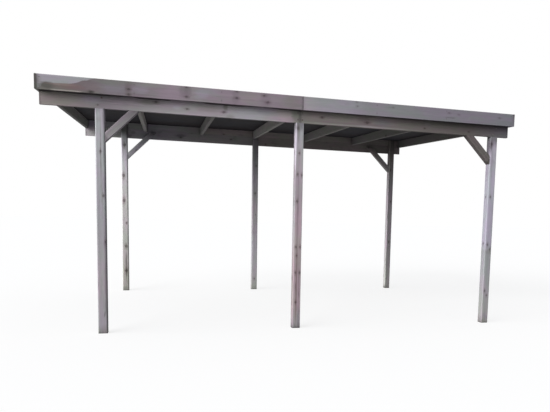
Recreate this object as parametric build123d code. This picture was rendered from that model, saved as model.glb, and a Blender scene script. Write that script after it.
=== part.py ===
from build123d import *
from math import atan, cos, sqrt
import os

# An open carport of planed softwood: two rows of three square posts, a beam in two lengths on
# each row, seven rafters notched over the beams with blocking between them, knee braces at the
# corner posts, and a board fascia round a flat roof of panels and lapped felt.
# Millimetres. X runs along the beams, Y across from the front row to the back row, Z up.
# The origin is on the ground under the middle of the roof. The roof rises towards the back.

# Posts
post_width = 95
row_spacing = 3600           # between the centre lines of the two rows of posts
front_left_overhang = 570    # from the left end of the front beam to the centre of its first post
front_right_overhang = 190   # from the right end of the front beam to the centre of its last post
back_row_shift = 20          # the back posts stand this much further to the right

# Beams
beam_length = 5400           # the whole beam; its two lengths meet on the middle post
beam_thickness = 45
beam_height = 145
clear_height = 2380          # from the ground to the underside of the front beam
roof_rise = 120              # how much higher the back beam sits than the front one

# Rafters
rafter_count = 7
rafter_thickness = 45
rafter_height = 125
rafter_notch = 30            # how deep a rafter is cut to sit on the beams
rafter_tail = 75             # the rafter's tail beyond the outer face of a beam

# Knee braces, as thick as the posts
brace_width = 70
brace_reach = 340            # along the post and along the beam, to the outer edge of the brace
brace_clearance = 15         # from the top of a brace up to the underside of the rafters

# Fascia
fascia_thickness = 25
fascia_height = 150
fascia_cover = 15            # the front fascia hangs this far below the top of the front beam
fascia_joint_shift = 15      # its two lengths meet this far to the right of the middle

# Roof covering
panel_count = 2
panel_thickness = 18
felt_count = 4
felt_thickness = 3
felt_lap = 100
felt_fold = 20               # the felt comes down from a lap to the panel over this distance

post_edge_round = 10         # the posts' corners are rounded off further than the other timbers'
timber_edge_round = 4        # the eased long edges of every other planed timber
joint_gap = 2                # left where two lengths of beam, fascia or panel meet end to end

# Places that follow from the sizes
front, back = -1, 1
to_left, to_right = -1, 1
beam_end = beam_length / 2
post_outer_y = row_spacing / 2 + post_width / 2
beam_inner_y = post_outer_y - beam_thickness
tail_end_y = post_outer_y + rafter_tail
fascia_outer_y = tail_end_y + fascia_thickness
roof_slope = roof_rise / (2 * beam_inner_y)
slope_cosine = cos(atan(roof_slope))
brace_cut = brace_width * sqrt(2)


def beam_underside(row):
    """The height of the underside of the front or the back beam."""
    return clear_height + (roof_rise if row == back else 0)


def rafter_underside(y):
    """The rafters slope in a line from the front beam, where they hang below its top, to the back."""
    at_front_beam = clear_height + beam_height - rafter_notch
    return at_front_beam + roof_slope * (y + beam_inner_y)


def rafter_top(y):
    return rafter_underside(y) + rafter_height / slope_cosine


def panel_top(y):
    return rafter_top(y) + panel_thickness / slope_cosine


def fascia_underside(y):
    at_front_face = clear_height + beam_height - fascia_cover
    return at_front_face + roof_slope * (y + fascia_outer_y)


def cut_across(outline, low_x, high_x):
    """A piece whose side is an outline of (y, z) points, from low_x to high_x."""
    side = Plane.YZ * make_face(Polyline(*outline, close=True))
    return Pos(low_x, 0, 0) * extrude(side, high_x - low_x)


def block(low, high):
    """A box between two opposite corners."""
    size = [b - a for a, b in zip(low, high)]
    return Pos(*low) * Box(*size, align=(Align.MIN, Align.MIN, Align.MIN))


def ease_long_edges(timber, radius=timber_edge_round):
    """Round the edges that run along a planed timber; its sawn ends and notches stay sharp."""
    longest = max(edge.length for edge in timber.edges())
    return fillet(timber.edges().filter_by(lambda edge: edge.length > longest / 2), radius)


def rafter_centres():
    step = (beam_length - rafter_thickness) / (rafter_count - 1)
    return [-beam_end + rafter_thickness / 2 + step * i for i in range(rafter_count)]


def post_centres(row):
    """The left, middle and right posts of a row."""
    shift = back_row_shift if row == back else 0
    left = -beam_end + front_left_overhang
    right = beam_end - front_right_overhang
    return {"left": left + shift, "middle": shift, "right": right + shift}


def crossed_by_rafter(centre_x):
    reach = (post_width + rafter_thickness) / 2
    return any(abs(centre_x - x) < reach for x in rafter_centres())


def make_post(centre_x, row):
    """A square post. Its outer half stops under the beam; its inner half is a tongue beside it.

    The tongue rises to the roof panel, or to the underside of a rafter that crosses the post.
    """
    outer = row * post_outer_y
    inner = row * (post_outer_y - post_width)
    cheek = row * beam_inner_y
    tongue_top = rafter_underside if crossed_by_rafter(centre_x) else rafter_top
    outline = [
        (outer, 0),
        (inner, 0),
        (inner, tongue_top(inner)),
        (cheek, tongue_top(cheek)),
        (cheek, beam_underside(row)),
        (outer, beam_underside(row)),
    ]
    post = cut_across(outline, centre_x - post_width / 2, centre_x + post_width / 2)
    return ease_long_edges(post, post_edge_round)


def make_beam(row, low_x, high_x):
    """One length of a beam, on the outer half of the posts."""
    near, far = sorted([row * beam_inner_y, row * post_outer_y])
    underside = beam_underside(row)
    return ease_long_edges(block((low_x, near, underside), (high_x, far, underside + beam_height)))


def make_rafter(centre_x):
    """A sloping rafter, cut level to sit on both beams and plumb against their inner faces."""
    front_seat = beam_underside(front) + beam_height
    back_seat = beam_underside(back) + beam_height
    outline = [
        (-tail_end_y, front_seat),
        (-beam_inner_y, front_seat),
        (-beam_inner_y, rafter_underside(-beam_inner_y)),
        (beam_inner_y, rafter_underside(beam_inner_y)),
        (beam_inner_y, back_seat),
        (tail_end_y, back_seat),
        (tail_end_y, rafter_top(tail_end_y)),
        (-tail_end_y, rafter_top(-tail_end_y)),
    ]
    half = rafter_thickness / 2
    return ease_long_edges(cut_across(outline, centre_x - half, centre_x + half))


def make_blocking(row, low_x, high_x):
    """A block on a beam that closes the gap under the roof between two rafters."""
    inner = row * beam_inner_y
    outer = row * post_outer_y
    seat = beam_underside(row) + beam_height
    outline = [(inner, seat), (outer, seat), (outer, rafter_top(outer)), (inner, rafter_top(inner))]
    return cut_across(outline, low_x, high_x)


def make_brace(centre_x, row, lean):
    """A brace at 45 degrees from the side of a post to the beam, cut around the beam like a post.

    Its outer part stops under the beam and its inner part runs on over the beam's inner face.
    """
    face = centre_x + lean * post_width / 2
    seat = beam_underside(row)
    outer = row * post_outer_y
    inner = row * (post_outer_y - post_width)
    lap = rafter_underside(inner) - brace_clearance - seat
    outline = [
        (face, seat - brace_reach),
        (face, seat - brace_reach + brace_cut),
        (face + lean * (brace_reach - brace_cut + lap), seat + lap),
        (face + lean * (brace_reach + lap), seat + lap),
    ]
    profile = Plane.XZ * make_face(Polyline(*outline, close=True))
    brace = extrude(profile, post_width / 2, both=True)
    brace = Pos(0, row * row_spacing / 2, 0) * ease_long_edges(brace)
    low_x, high_x = sorted([face, face + lean * (brace_reach + lap)])
    near, far = sorted([row * beam_inner_y, outer])
    return brace - block((low_x, near, seat), (high_x, far, seat + lap))


def make_long_fascia(row, low_x, high_x):
    """A board of the front or back fascia, on the ends of the rafters."""
    near, far = sorted([row * tail_end_y, row * fascia_outer_y])
    underside = fascia_underside(row * fascia_outer_y)
    return ease_long_edges(block((low_x, near, underside), (high_x, far, underside + fascia_height)))


def make_end_fascia(end):
    """The sloping board across one end of the roof; it covers the ends of the long boards."""
    height = fascia_height / slope_cosine
    outline = [
        (-fascia_outer_y, fascia_underside(-fascia_outer_y)),
        (fascia_outer_y, fascia_underside(fascia_outer_y)),
        (fascia_outer_y, fascia_underside(fascia_outer_y) + height),
        (-fascia_outer_y, fascia_underside(-fascia_outer_y) + height),
    ]
    low_x, high_x = sorted([end * beam_end, end * (beam_end + fascia_thickness)])
    return ease_long_edges(cut_across(outline, low_x, high_x))


def make_panel(low_x, high_x):
    """A roof panel that lies on the rafters, between the front and the back fascia."""
    outline = [
        (-tail_end_y, rafter_top(-tail_end_y)),
        (tail_end_y, rafter_top(tail_end_y)),
        (tail_end_y, panel_top(tail_end_y)),
        (-tail_end_y, panel_top(-tail_end_y)),
    ]
    return cut_across(outline, low_x, high_x)


def panel_edges():
    """The two ends of the roof and the middles of the rafters that the panels meet on."""
    centres = rafter_centres()
    joints = [round(i * (rafter_count - 1) / panel_count) for i in range(1, panel_count)]
    return [-beam_end] + [centres[i] for i in joints] + [beam_end]


def make_felt(index):
    """A strip of roofing felt along the roof; each strip laps over the one below it."""
    exposed = 2 * tail_end_y / felt_count
    start = -tail_end_y + index * exposed
    lapped = 0 if index == felt_count - 1 else felt_lap
    end = start + exposed + lapped
    if index == 0:
        heights = [(start, 0), (end, 0)]
    else:
        fold = start + felt_lap
        heights = [(start, felt_thickness), (fold, felt_thickness), (fold + felt_fold, 0), (end, 0)]
    below = [(y, panel_top(y) + z) for y, z in heights]
    above = [(y, z + felt_thickness) for y, z in reversed(below)]
    return cut_across(below + above, -beam_end, beam_end)


def make_row(row, name):
    """The posts, beams, braces, blocking and fascia of one side of the carport."""
    centres = post_centres(row)
    pieces = {f"post_{name}_{place}": make_post(x, row) for place, x in centres.items()}
    pieces[f"beam_{name}_left"] = make_beam(row, -beam_end, centres["middle"] - joint_gap / 2)
    pieces[f"beam_{name}_right"] = make_beam(row, centres["middle"] + joint_gap / 2, beam_end)
    pieces[f"brace_{name}_left"] = make_brace(centres["left"], row, to_right)
    pieces[f"brace_{name}_right"] = make_brace(centres["right"], row, to_left)
    rafters = rafter_centres()
    half = rafter_thickness / 2
    for number, (left_x, right_x) in enumerate(zip(rafters, rafters[1:]), start=1):
        pieces[f"blocking_{name}_{number}"] = make_blocking(row, left_x + half, right_x - half)
    left_length_end = fascia_joint_shift - joint_gap / 2
    right_length_start = fascia_joint_shift + joint_gap / 2
    pieces[f"fascia_{name}_left"] = make_long_fascia(row, -beam_end, left_length_end)
    pieces[f"fascia_{name}_right"] = make_long_fascia(row, right_length_start, beam_end)
    return pieces


def make_roof():
    """The rafters, the end fascia boards, the panels and the felt."""
    pieces = {f"rafter_{n}": make_rafter(x) for n, x in enumerate(rafter_centres(), start=1)}
    pieces["fascia_end_left"] = make_end_fascia(to_left)
    pieces["fascia_end_right"] = make_end_fascia(to_right)
    edges = panel_edges()
    for number, (low_x, high_x) in enumerate(zip(edges, edges[1:]), start=1):
        left_gap = 0 if number == 1 else joint_gap / 2
        right_gap = 0 if number == panel_count else joint_gap / 2
        pieces[f"roof_panel_{number}"] = make_panel(low_x + left_gap, high_x - right_gap)
    for index in range(felt_count):
        pieces[f"roof_felt_{index + 1}"] = make_felt(index)
    return pieces


os.makedirs("parts", exist_ok=True)
carport = {**make_row(front, "front"), **make_row(back, "back"), **make_roof()}
for node, shape in carport.items():
    export_step(shape, f"parts/{node}.step")
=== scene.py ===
# %% [markdown]
# # A weathered timber carport
# The shape of every timber and roof sheet comes from a packed CAD model. This lesson loads that
# model and gives it what a drawing leaves out: grain, knots, drying cracks, rain stains, the
# mineral felt on the roof, and the screws and nails that hold it together.
# Everything stays where the CAD model puts it, so we only add to it and never move it.

# %% Load the frame
import math

import bmesh
import bpy
from mathutils import Euler, Matrix, Vector


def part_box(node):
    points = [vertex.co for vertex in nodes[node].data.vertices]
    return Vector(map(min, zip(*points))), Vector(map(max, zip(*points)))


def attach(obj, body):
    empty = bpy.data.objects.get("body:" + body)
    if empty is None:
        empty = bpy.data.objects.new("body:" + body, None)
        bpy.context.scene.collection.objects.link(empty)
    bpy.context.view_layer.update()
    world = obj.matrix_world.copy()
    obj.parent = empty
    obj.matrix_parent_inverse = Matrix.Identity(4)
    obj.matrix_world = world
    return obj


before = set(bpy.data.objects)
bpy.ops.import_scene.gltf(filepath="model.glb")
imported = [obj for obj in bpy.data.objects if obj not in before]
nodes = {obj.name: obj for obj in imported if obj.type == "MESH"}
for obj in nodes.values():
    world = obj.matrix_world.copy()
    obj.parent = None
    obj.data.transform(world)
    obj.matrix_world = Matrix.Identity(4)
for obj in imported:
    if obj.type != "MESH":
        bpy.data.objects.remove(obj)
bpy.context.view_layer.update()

# %% [markdown]
# ## A bench for node trees
# Every finish here is a tree of shader nodes. Written out in full, each node takes three or four
# lines of Python, and the idea drowns in them. One could draw the trees by hand in the editor
# instead, but a script can be read and changed later. So we make a small helper that adds a
# node, feeds it with plain numbers or with links, and hands back its result.

# %% The bench
SEED_SHIFT = (3.1, 7.7, 5.3)    # how far one step of a seed moves the noise


class Bench:
    """One node tree, with short words for the nodes that come up again and again."""

    def __init__(self, tree):
        self.tree = tree

    def add(self, kind, **settings):
        node = self.tree.nodes.new(kind)
        for name, value in settings.items():
            setattr(node, name, value)
        return node

    def feed(self, socket, value):
        """Link a socket to a result, or set it to a fixed value."""
        if isinstance(value, bpy.types.NodeSocket):
            self.tree.links.new(value, socket)
        else:
            socket.default_value = value

    def fed(self, node, *values):
        """Feed the sockets of a node in their order, and hand the node back."""
        for socket, value in zip(node.inputs, values):
            self.feed(socket, value)
        return node

    def calc(self, operation, *values, clamp=False):
        """One step of arithmetic on plain numbers."""
        node = self.add("ShaderNodeMath", operation=operation, use_clamp=clamp)
        return self.fed(node, *values).outputs["Value"]

    def times(self, first, second):
        return self.calc("MULTIPLY", first, second)

    def times_plus(self, first, second, more):
        return self.calc("MULTIPLY_ADD", first, second, more)

    def plus(self, first, second):
        return self.calc("ADD", first, second)

    def minus(self, first, second):
        return self.calc("SUBTRACT", first, second)

    def larger(self, first, second):
        return self.calc("MAXIMUM", first, second)

    def size(self, value):
        return self.calc("ABSOLUTE", value)

    def vector(self, operation, *values):
        """One step of arithmetic on vectors."""
        node = self.fed(self.add("ShaderNodeVectorMath", operation=operation), *values)
        return node.outputs["Value" if operation in ("DOT_PRODUCT", "LENGTH") else "Vector"]

    def scaled(self, vector, factor):
        """A vector or a colour times a number."""
        node = self.add("ShaderNodeVectorMath", operation="SCALE")
        self.feed(node.inputs["Vector"], vector)
        self.feed(node.inputs["Scale"], factor)
        return node.outputs["Vector"]

    def split(self, vector):
        return self.fed(self.add("ShaderNodeSeparateXYZ"), vector).outputs

    def join(self, *values):
        return self.fed(self.add("ShaderNodeCombineXYZ"), *values).outputs["Vector"]

    def fade(self, value, start, end, low=0.0, high=1.0):
        """Go softly from low to high while value goes from start to end."""
        node = self.add("ShaderNodeMapRange", interpolation_type="SMOOTHSTEP")
        return self.fed(node, value, start, end, low, high).outputs["Result"]

    def noise(self, place, scale, seed=0.0, detail=2.0, roughness=0.5):
        """Soft noise, stretched by a scale for each direction."""
        stretched = self.vector("MULTIPLY", place, scale)
        node = self.add("ShaderNodeTexNoise", noise_dimensions="3D")
        self.feed(node.inputs["Vector"], self.vector("ADD", stretched, self.scaled(SEED_SHIFT, seed)))
        for name, value in (("Scale", 1.0), ("Detail", detail), ("Roughness", roughness)):
            node.inputs[name].default_value = value
        return node.outputs["Fac"]

    def mix(self, share, first, second):
        """Lay a second colour over a first one."""
        node = self.add("ShaderNodeMix", data_type="RGBA")
        self.feed(node.inputs["Factor"], share)
        for socket, colour in zip([s for s in node.inputs if s.type == "RGBA"], (first, second)):
            self.feed(socket, colour)
        return [s for s in node.outputs if s.type == "RGBA"][0]

    def use(self, group, **values):
        """Place a node group. A word in its socket names may be joined with an underscore."""
        node = self.add("ShaderNodeGroup", node_tree=bpy.data.node_groups[group])
        for name, value in values.items():
            self.feed(node.inputs[name.replace("_", " ")], value)
        return node.outputs


words = [word for word in vars(Bench) if not word.startswith("_")]
print("the bench knows", len(words), "words:", ", ".join(words))

# %% [markdown]
# ## Node groups
# An effect that several finishes share, such as grain or cracks, becomes a node group: a small
# tree with named sockets that is built once and then used like a single node. The nodes could
# be copied into every material and would look the same, but then each change would have to be
# made fifty times. One helper opens a group and another closes it.

# %% Opening and closing a group
# A socket carries a plain number, unless its name stands here.
VECTORS = ("Position", "Centre", "Along", "Across", "Beside", "Place", "Facing", "Reach", "Half Size")
COLOURS = ("Color", "Base Color")


def start_group(name, takes, gives):
    """A new node group, given as a bench to build it on and the results that come into it."""
    group = bpy.data.node_groups.new(name, "ShaderNodeTree")
    for titles, way in ((takes, "INPUT"), (gives, "OUTPUT")):
        for title in titles.split(", "):
            kind = "Vector" if title in VECTORS else "Color" if title in COLOURS else "Float"
            group.interface.new_socket(title, in_out=way, socket_type="NodeSocket" + kind)
    bench = Bench(group)
    taken = bench.add("NodeGroupInput").outputs
    return bench, *(taken[title] for title in takes.split(", "))


def end_group(bench, **results):
    end = bench.add("NodeGroupOutput")
    for name, value in results.items():
        bench.feed(end.inputs[name], value)
    print("group", bench.tree.name, "has", len(bench.tree.nodes), "nodes")


print("a socket is a number unless it is one of", VECTORS + COLOURS)

# %% [markdown]
# ## Where we are on a board
# Grain runs along a board, whichever way the board itself runs. An unwrapped texture could carry
# it, but it would smear on the cut ends. Real grain fills the whole board like the lettering in
# a stick of rock, so we work in three dimensions: the group below turns a point of the carport
# into a distance along, across and through its own board, in metres.

# %% Board Position
bench, centre, along, across = start_group("Board Position", takes="Centre, Along, Across", gives="Position")
here = bench.vector("SUBTRACT", bench.add("ShaderNodeTexCoord").outputs["Object"], centre)
through = bench.vector("CROSS_PRODUCT", along, across)
steps = [bench.vector("DOT_PRODUCT", here, way) for way in (along, across, through)]
end_group(bench, Position=bench.join(*steps))

# %% [markdown]
# ## Softwood grain
# A log is a stack of thin cones, and sawing a board out of it shows them as lines and long
# arches. We do the same: the distance from a wandering core line, cut into equal rings, each
# pale in spring and dark in late summer. Two kinds of stretched noise join it: fine fibre, and
# broad streaks where the wood took up more or less water.

# %% Softwood Grain
bench, place, ring_width, core_depth, seed = start_group(
    "Softwood Grain", takes="Position, Ring Width, Core Depth, Seed", gives="Ring, Fibre, Streak")
_, across, through = bench.split(place)
wander = bench.minus(bench.noise(place, (1.1, 2.0, 2.0), seed), 0.5)
sideways = bench.times_plus(wander, 0.11, across)
deep = bench.plus(bench.times_plus(wander, 0.06, through), core_depth)
from_core = bench.vector("LENGTH", bench.join(sideways, deep, 0.0))
ring = bench.calc("FRACT", bench.calc("DIVIDE", from_core, ring_width))
late_wood = bench.times(bench.calc("POWER", ring, 2.5), bench.fade(ring, 1.0, 0.93))
end_group(bench, Ring=late_wood,
          Fibre=bench.noise(place, (5.0, 240.0, 240.0), seed, 3.0, 0.6),
          Streak=bench.noise(place, (0.7, 30.0, 30.0), seed, 3.0, 0.6))

# %% [markdown]
# ## Knots
# A knot is the foot of a branch. It grew outwards from the core of the log, so it shows as a
# dark oval on the face it points at, and the grain flows round it like water round a stone.
# A picture of a knot would only sit on top, so the group also bends the position that the grain
# is drawn from. As it dries a knot shrinks, and dark whiskers run out of it along the grain.
# Knots on the large faces are placed one by one, because a few knots in rows are what people
# recognise on such a post. They are chained: each group passes its marks on to the next.

# %% Knot Shape
KNOT_MARKS = "Position, Knots, Halo"


def passed_on(marks):
    """What one knot group gives, ready to feed the next."""
    return {name: marks[name] for name in KNOT_MARKS.split(", ")}


bench, place, knots, halos, beside, radius, shown = start_group(
    "Knot Shape", takes=KNOT_MARKS + ", Beside, Radius, Shown", gives=KNOT_MARKS)
ragged = bench.times_plus(bench.noise(place, (45.0, 70.0, 70.0), 0.0, 3.0), 1.1, 0.45)
in_radii = bench.scaled(beside, bench.calc("DIVIDE", ragged, radius))
oval, whiskers, eye = (bench.vector("LENGTH", bench.vector("MULTIPLY", in_radii, stretch))
                       for stretch in ((0.8, 1.0, 1.0), (0.33, 2.6, 2.6), (0.5, 1.0, 1.0)))
core = bench.fade(oval, 1.1, 0.65)
cracked = bench.fade(whiskers, 1.1, 0.3, 0.0, 0.55)
dark = bench.times(bench.larger(core, cracked), shown)
halo = bench.times(bench.fade(eye, 2.1, 0.7), shown)
bend = bench.times(bench.times(halo, halo), -0.6)
end_group(bench, Position=bench.vector("ADD", place, bench.scaled(beside, bend)),
          Knots=bench.larger(knots, dark), Halo=bench.larger(halos, halo))

# %% Branch Knot
bench, place, knots, halo, middle, facing, radius = start_group(
    "Branch Knot", takes=KNOT_MARKS + ", Place, Facing, Radius", gives=KNOT_MARKS)
offset = bench.vector("SUBTRACT", place, middle)
outwards = bench.vector("DOT_PRODUCT", offset, facing)
beside = bench.vector("SUBTRACT", offset, bench.scaled(facing, outwards))
marks = bench.use("Knot Shape", Position=place, Knots=knots, Halo=halo, Beside=beside, Radius=radius,
                  Shown=bench.fade(outwards, 0.0, 0.012))
end_group(bench, **passed_on(marks))

# %% [markdown]
# ## Knots by the handful
# Seven rafters and twelve short boards don't deserve knots placed one by one. Voronoi cells throw
# them in instead: each cell holds one point, and a dice roll for each cell decides whether a
# knot grows there and how thick it is.

# %% Scattered Knots
bench, place, knots, halo, spacing, radius, share, seed = start_group(
    "Scattered Knots", takes=KNOT_MARKS + ", Spacing, Radius, Share, Seed", gives=KNOT_MARKS)
flat = bench.vector("MULTIPLY", place, (1.0, 1.0, 0.0))
shift = bench.scaled((2.7, 5.9, 0.0), seed)
cells = bench.add("ShaderNodeTexVoronoi", voronoi_dimensions="2D", feature="F1")
in_cells = bench.vector("DIVIDE", flat, bench.join(spacing, spacing, 1.0))
bench.feed(cells.inputs["Vector"], bench.vector("ADD", in_cells, shift))
cells.inputs["Scale"].default_value = 1.0
middle = bench.scaled(bench.vector("SUBTRACT", cells.outputs["Position"], shift), spacing)
dice, second_dice, _ = bench.split(cells.outputs["Color"])
marks = bench.use("Knot Shape", Position=place, Knots=knots, Halo=halo,
                  Beside=bench.vector("SUBTRACT", flat, middle),
                  Radius=bench.times(radius, bench.times_plus(second_dice, 0.8, 0.6)),
                  Shown=bench.calc("LESS_THAN", dice, share))
end_group(bench, **passed_on(marks))

# %% [markdown]
# ## Drying cracks
# Timber left outdoors dries faster outside than inside and splits along the grain. Thin cracks
# are hard to model as geometry and hardly change an outline, so they are a mask: the narrow
# band where stretched noise passes its middle value, kept only where a second noise allows it.

# %% Drying Cracks
bench, place, amount, seed = start_group("Drying Cracks", takes="Position, Amount, Seed", gives="Crack")
lines = bench.noise(place, (1.3, 34.0, 34.0), seed, 1.0)
thin = bench.fade(bench.size(bench.minus(lines, 0.5)), 0.02, 0.004)
gate = bench.noise(place, (2.2, 9.0, 9.0), bench.plus(seed, 4.0))
limit = bench.minus(0.85, bench.times(amount, 0.4))
allowed = bench.fade(gate, limit, bench.plus(limit, 0.06))
end_group(bench, Crack=bench.times(thin, allowed))

# %% [markdown]
# ## Worn edges and cut ends
# Corners catch rain, sun and elbows first, so they go pale, in uneven runs. End grain drinks water
# and turns dark. Both masks come from how far a point is from the sides of its own board. We
# could use the bevel or pointiness tricks, but they belong to one renderer and don't travel.

# %% Worn Edges
bench, place, half_size, width, seed = start_group(
    "Worn Edges", takes="Position, Half Size, Width, Seed", gives="Edge, End")
away = bench.vector("SUBTRACT", half_size, bench.vector("ABSOLUTE", place))
from_end, from_side, from_face = bench.split(away)
ragged = bench.times_plus(bench.noise(place, (9.0, 50.0, 50.0), seed), 1.6, 0.2)
end_group(bench, Edge=bench.fade(bench.larger(from_side, from_face), bench.times(width, ragged), 0.0),
          End=bench.fade(from_end, bench.times(ragged, 0.03), 0.0))

# %% [markdown]
# ## Weathered timber
# This group puts the pieces together for every board of the carport. It takes the board's own
# base colour and darkens or lightens it with streaks, fibre, late wood, knots and cracks. Sun
# and rain take the yellow out of wood and leave silver, with clouds that lean to mauve or to
# green, but the halo round a knot stays resinous and warm. The height it puts out is in
# millimetres.

# %% Weathered Timber
# What a colour is multiplied by: two slow clouds, the resin round a knot, and a knot's heart.
MAUVE_CLOUD, GREEN_CLOUD = (1.045, 0.965, 1.03, 1.0), (0.965, 1.015, 0.955, 1.0)
RESIN, HEART = (0.79, 0.755, 0.75), (0.31, 0.29, 0.295)
CRACK_COLOUR = (0.02, 0.017, 0.016, 1.0)

(bench, place, knots, halo, base, half_size, ring_width, core_depth, contrast, cracks, knot_dark,
 edge_light, end_dark, seed) = start_group(
    "Weathered Timber", gives="Color, Roughness, Height",
    takes="Position, Knots, Halo, Base Color, Half Size, Ring Width, Core Depth, Contrast, Cracks, "
          "Knot Dark, Edge Light, End Dark, Seed")
grain = bench.use("Softwood Grain", Position=place, Ring_Width=ring_width, Core_Depth=core_depth, Seed=seed)
crack = bench.use("Drying Cracks", Position=place, Amount=cracks, Seed=seed)["Crack"]
worn = bench.use("Worn Edges", Position=place, Half_Size=half_size, Width=0.014, Seed=seed)
streak = bench.minus(grain["Streak"], 0.5)
fibre = bench.minus(grain["Fibre"], 0.5)
late = bench.minus(grain["Ring"], 0.25)
tone = bench.times_plus(fibre, 0.8, bench.times(late, -0.28))
tone = bench.times_plus(streak, 0.85, tone)
tone = bench.larger(bench.times_plus(tone, contrast, 1.0), 0.2)
colour = bench.scaled(base, tone)
cloud = bench.noise(place, (3.5, 12.0, 12.0), bench.plus(seed, 2.0), 3.0, 0.6)
colour = bench.vector("MULTIPLY", colour, bench.mix(bench.fade(cloud, 0.36, 0.64), MAUVE_CLOUD, GREEN_CLOUD))
resin = bench.vector("MULTIPLY", colour, RESIN)
colour = bench.mix(bench.times(halo, knot_dark), colour, resin)
knot_rings = bench.calc("SINE", bench.times(knots, 18.0))
knot_depth = bench.times(knots, bench.times_plus(knot_rings, 0.1, 0.9))
heart = bench.vector("MULTIPLY", colour, HEART)
colour = bench.mix(bench.times(knot_depth, knot_dark), colour, heart)
colour = bench.mix(bench.times(crack, 0.75), colour, CRACK_COLOUR)
colour = bench.scaled(colour, bench.plus(1.0, bench.times(worn["Edge"], edge_light)))
colour = bench.scaled(colour, bench.minus(1.0, bench.times(worn["End"], end_dark)))
roughness = bench.times_plus(grain["Ring"], -0.12, 0.9)
roughness = bench.times_plus(knots, -0.2, roughness)
height = bench.times_plus(grain["Ring"], 0.12, bench.times(fibre, 0.18))
height = bench.times_plus(knots, 0.25, height)
height = bench.times_plus(crack, -0.8, height)
end_group(bench, Color=colour, Roughness=roughness, Height=height)

# %% [markdown]
# ## Tones that change along a board
# No weathered board has one colour from end to end. A colour ramp along its length gives us a
# handful of tones to place by the metre, and a little noise makes their borders wander instead
# of crossing the board like stripes.

# %% Tone Walk
bench, place, start, length, wander, seed = start_group(
    "Tone Walk", takes="Position, Start, Length, Wander, Seed", gives="Share")
along, _, _ = bench.split(place)
drift = bench.minus(bench.noise(place, (2.5, 11.0, 11.0), seed, 3.0), 0.5)
moved = bench.times_plus(drift, wander, bench.minus(along, start))
end_group(bench, Share=bench.calc("DIVIDE", moved, length, clamp=True))

# %% [markdown]
# ## Patches, damp feet and tide lines
# Rain doesn't wet a carport evenly. Patches dry at their own pace, posts draw water up from the
# ground, and a board that stays wet along one edge gets a tide line, with a rim where the
# dirt collects. Each of these is a mask that a finish can use with any colour.

# %% Damp Patches
bench, place, share, seed = start_group("Damp Patches", takes="Position, Share, Seed", gives="Patch")
cloud = bench.noise(place, (5.0, 7.0, 7.0), bench.plus(seed, 9.0), 3.0, 0.55)
start = bench.minus(0.72, bench.times(share, 0.4))
end_group(bench, Patch=bench.fade(cloud, start, bench.plus(start, 0.2)))

# %% Stain Spot, for a stain with a known place
bench, place, middle, reach, seed = start_group(
    "Stain Spot", takes="Position, Place, Reach, Seed", gives="Spot")
offset = bench.vector("DIVIDE", bench.vector("SUBTRACT", place, middle), reach)
torn = bench.noise(place, (12.0, 30.0, 30.0), seed, 3.0)
distance = bench.times(bench.vector("LENGTH", offset), bench.times_plus(torn, 1.2, 0.4))
end_group(bench, Spot=bench.fade(distance, 1.25, 0.35))

# %% Tide Line, at a height that is given along the board
bench, place, line, seed = start_group("Tide Line", takes="Position, Line, Seed", gives="Below, Rim")
_, across, _ = bench.split(place)
ripple = bench.minus(bench.noise(place, (26.0, 12.0, 3.0), seed, 3.0), 0.5)
above = bench.minus(across, bench.times_plus(ripple, 0.02, line))
end_group(bench, Below=bench.fade(above, 0.005, -0.006),
          Rim=bench.fade(bench.size(bench.plus(above, 0.006)), 0.014, 0.0))

# %% [markdown]
# ## The painted shade under the fascia
# The top of a beam lies close under the fascia, where hardly any light gets in. That deep shade
# is painted into the beam's own colour as a nearly black line, thick in one place and thin in
# the next, so it is in the material and not in the lamps.

# %% Painted Gap Shade
bench, place, half_height, depth, seed = start_group(
    "Painted Gap Shade", takes="Position, Half Height, Depth, Seed", gives="Dirt")
_, across, _ = bench.split(place)
uneven = bench.noise(place, (2.2, 0.0, 0.0), seed, 3.0, 0.6)
deep = bench.times(depth, bench.fade(uneven, 0.32, 0.55, 0.3, 1.25))
end_group(bench, Dirt=bench.fade(bench.minus(half_height, across), deep, bench.times(deep, 0.65)))

# %% [markdown]
# ## Shades of grey wood
# Weathered softwood is never a true grey. Seen closely it leans to lilac, mauve, brown or olive,
# by how wet it stays and what grows on it. Naming those leanings once, and then saying only how
# light a place is, keeps the boards in one family.

# %% Shades
LILAC = (0.99, 0.935, 1.075)
MAUVE = (1.065, 0.915, 1.02)
ROSE = (1.12, 0.905, 0.975)
RUSSET = (1.22, 0.9, 0.88)
PEARL = (1.035, 0.95, 1.015)
STEEL = (0.985, 0.97, 1.045)
VIOLET = (0.97, 0.945, 1.1)
BROWN = (1.09, 0.975, 0.935)
OLIVE = (1.045, 1.015, 0.94)
CREAM = (1.02, 1.0, 0.98)


def shade(level, leaning):
    """A colour of the given lightness that leans to one side."""
    return tuple(level * part for part in leaning) + (1.0,)


print("a silver lilac is", [round(part, 3) for part in shade(0.29, LILAC)])

# %% [markdown]
# ## A material and its surface
# The packed pieces arrive with plain materials. Each gets a fresh one, whose shader takes a colour,
# a roughness and a small relief. The relief is a bump, which only tilts the light. Real fibres
# stand up by a tenth of a millimetre, and modelling that would cost millions of faces for
# something that never shows on the outline.


# %% A fresh material for a packed piece
def new_finish(name):
    """A fresh material, a bench for its nodes, and its shader."""
    material = bpy.data.materials.new(name)
    material.use_nodes = True
    bench = Bench(material.node_tree)
    return material, bench, bench.tree.nodes["Principled BSDF"]


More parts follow.
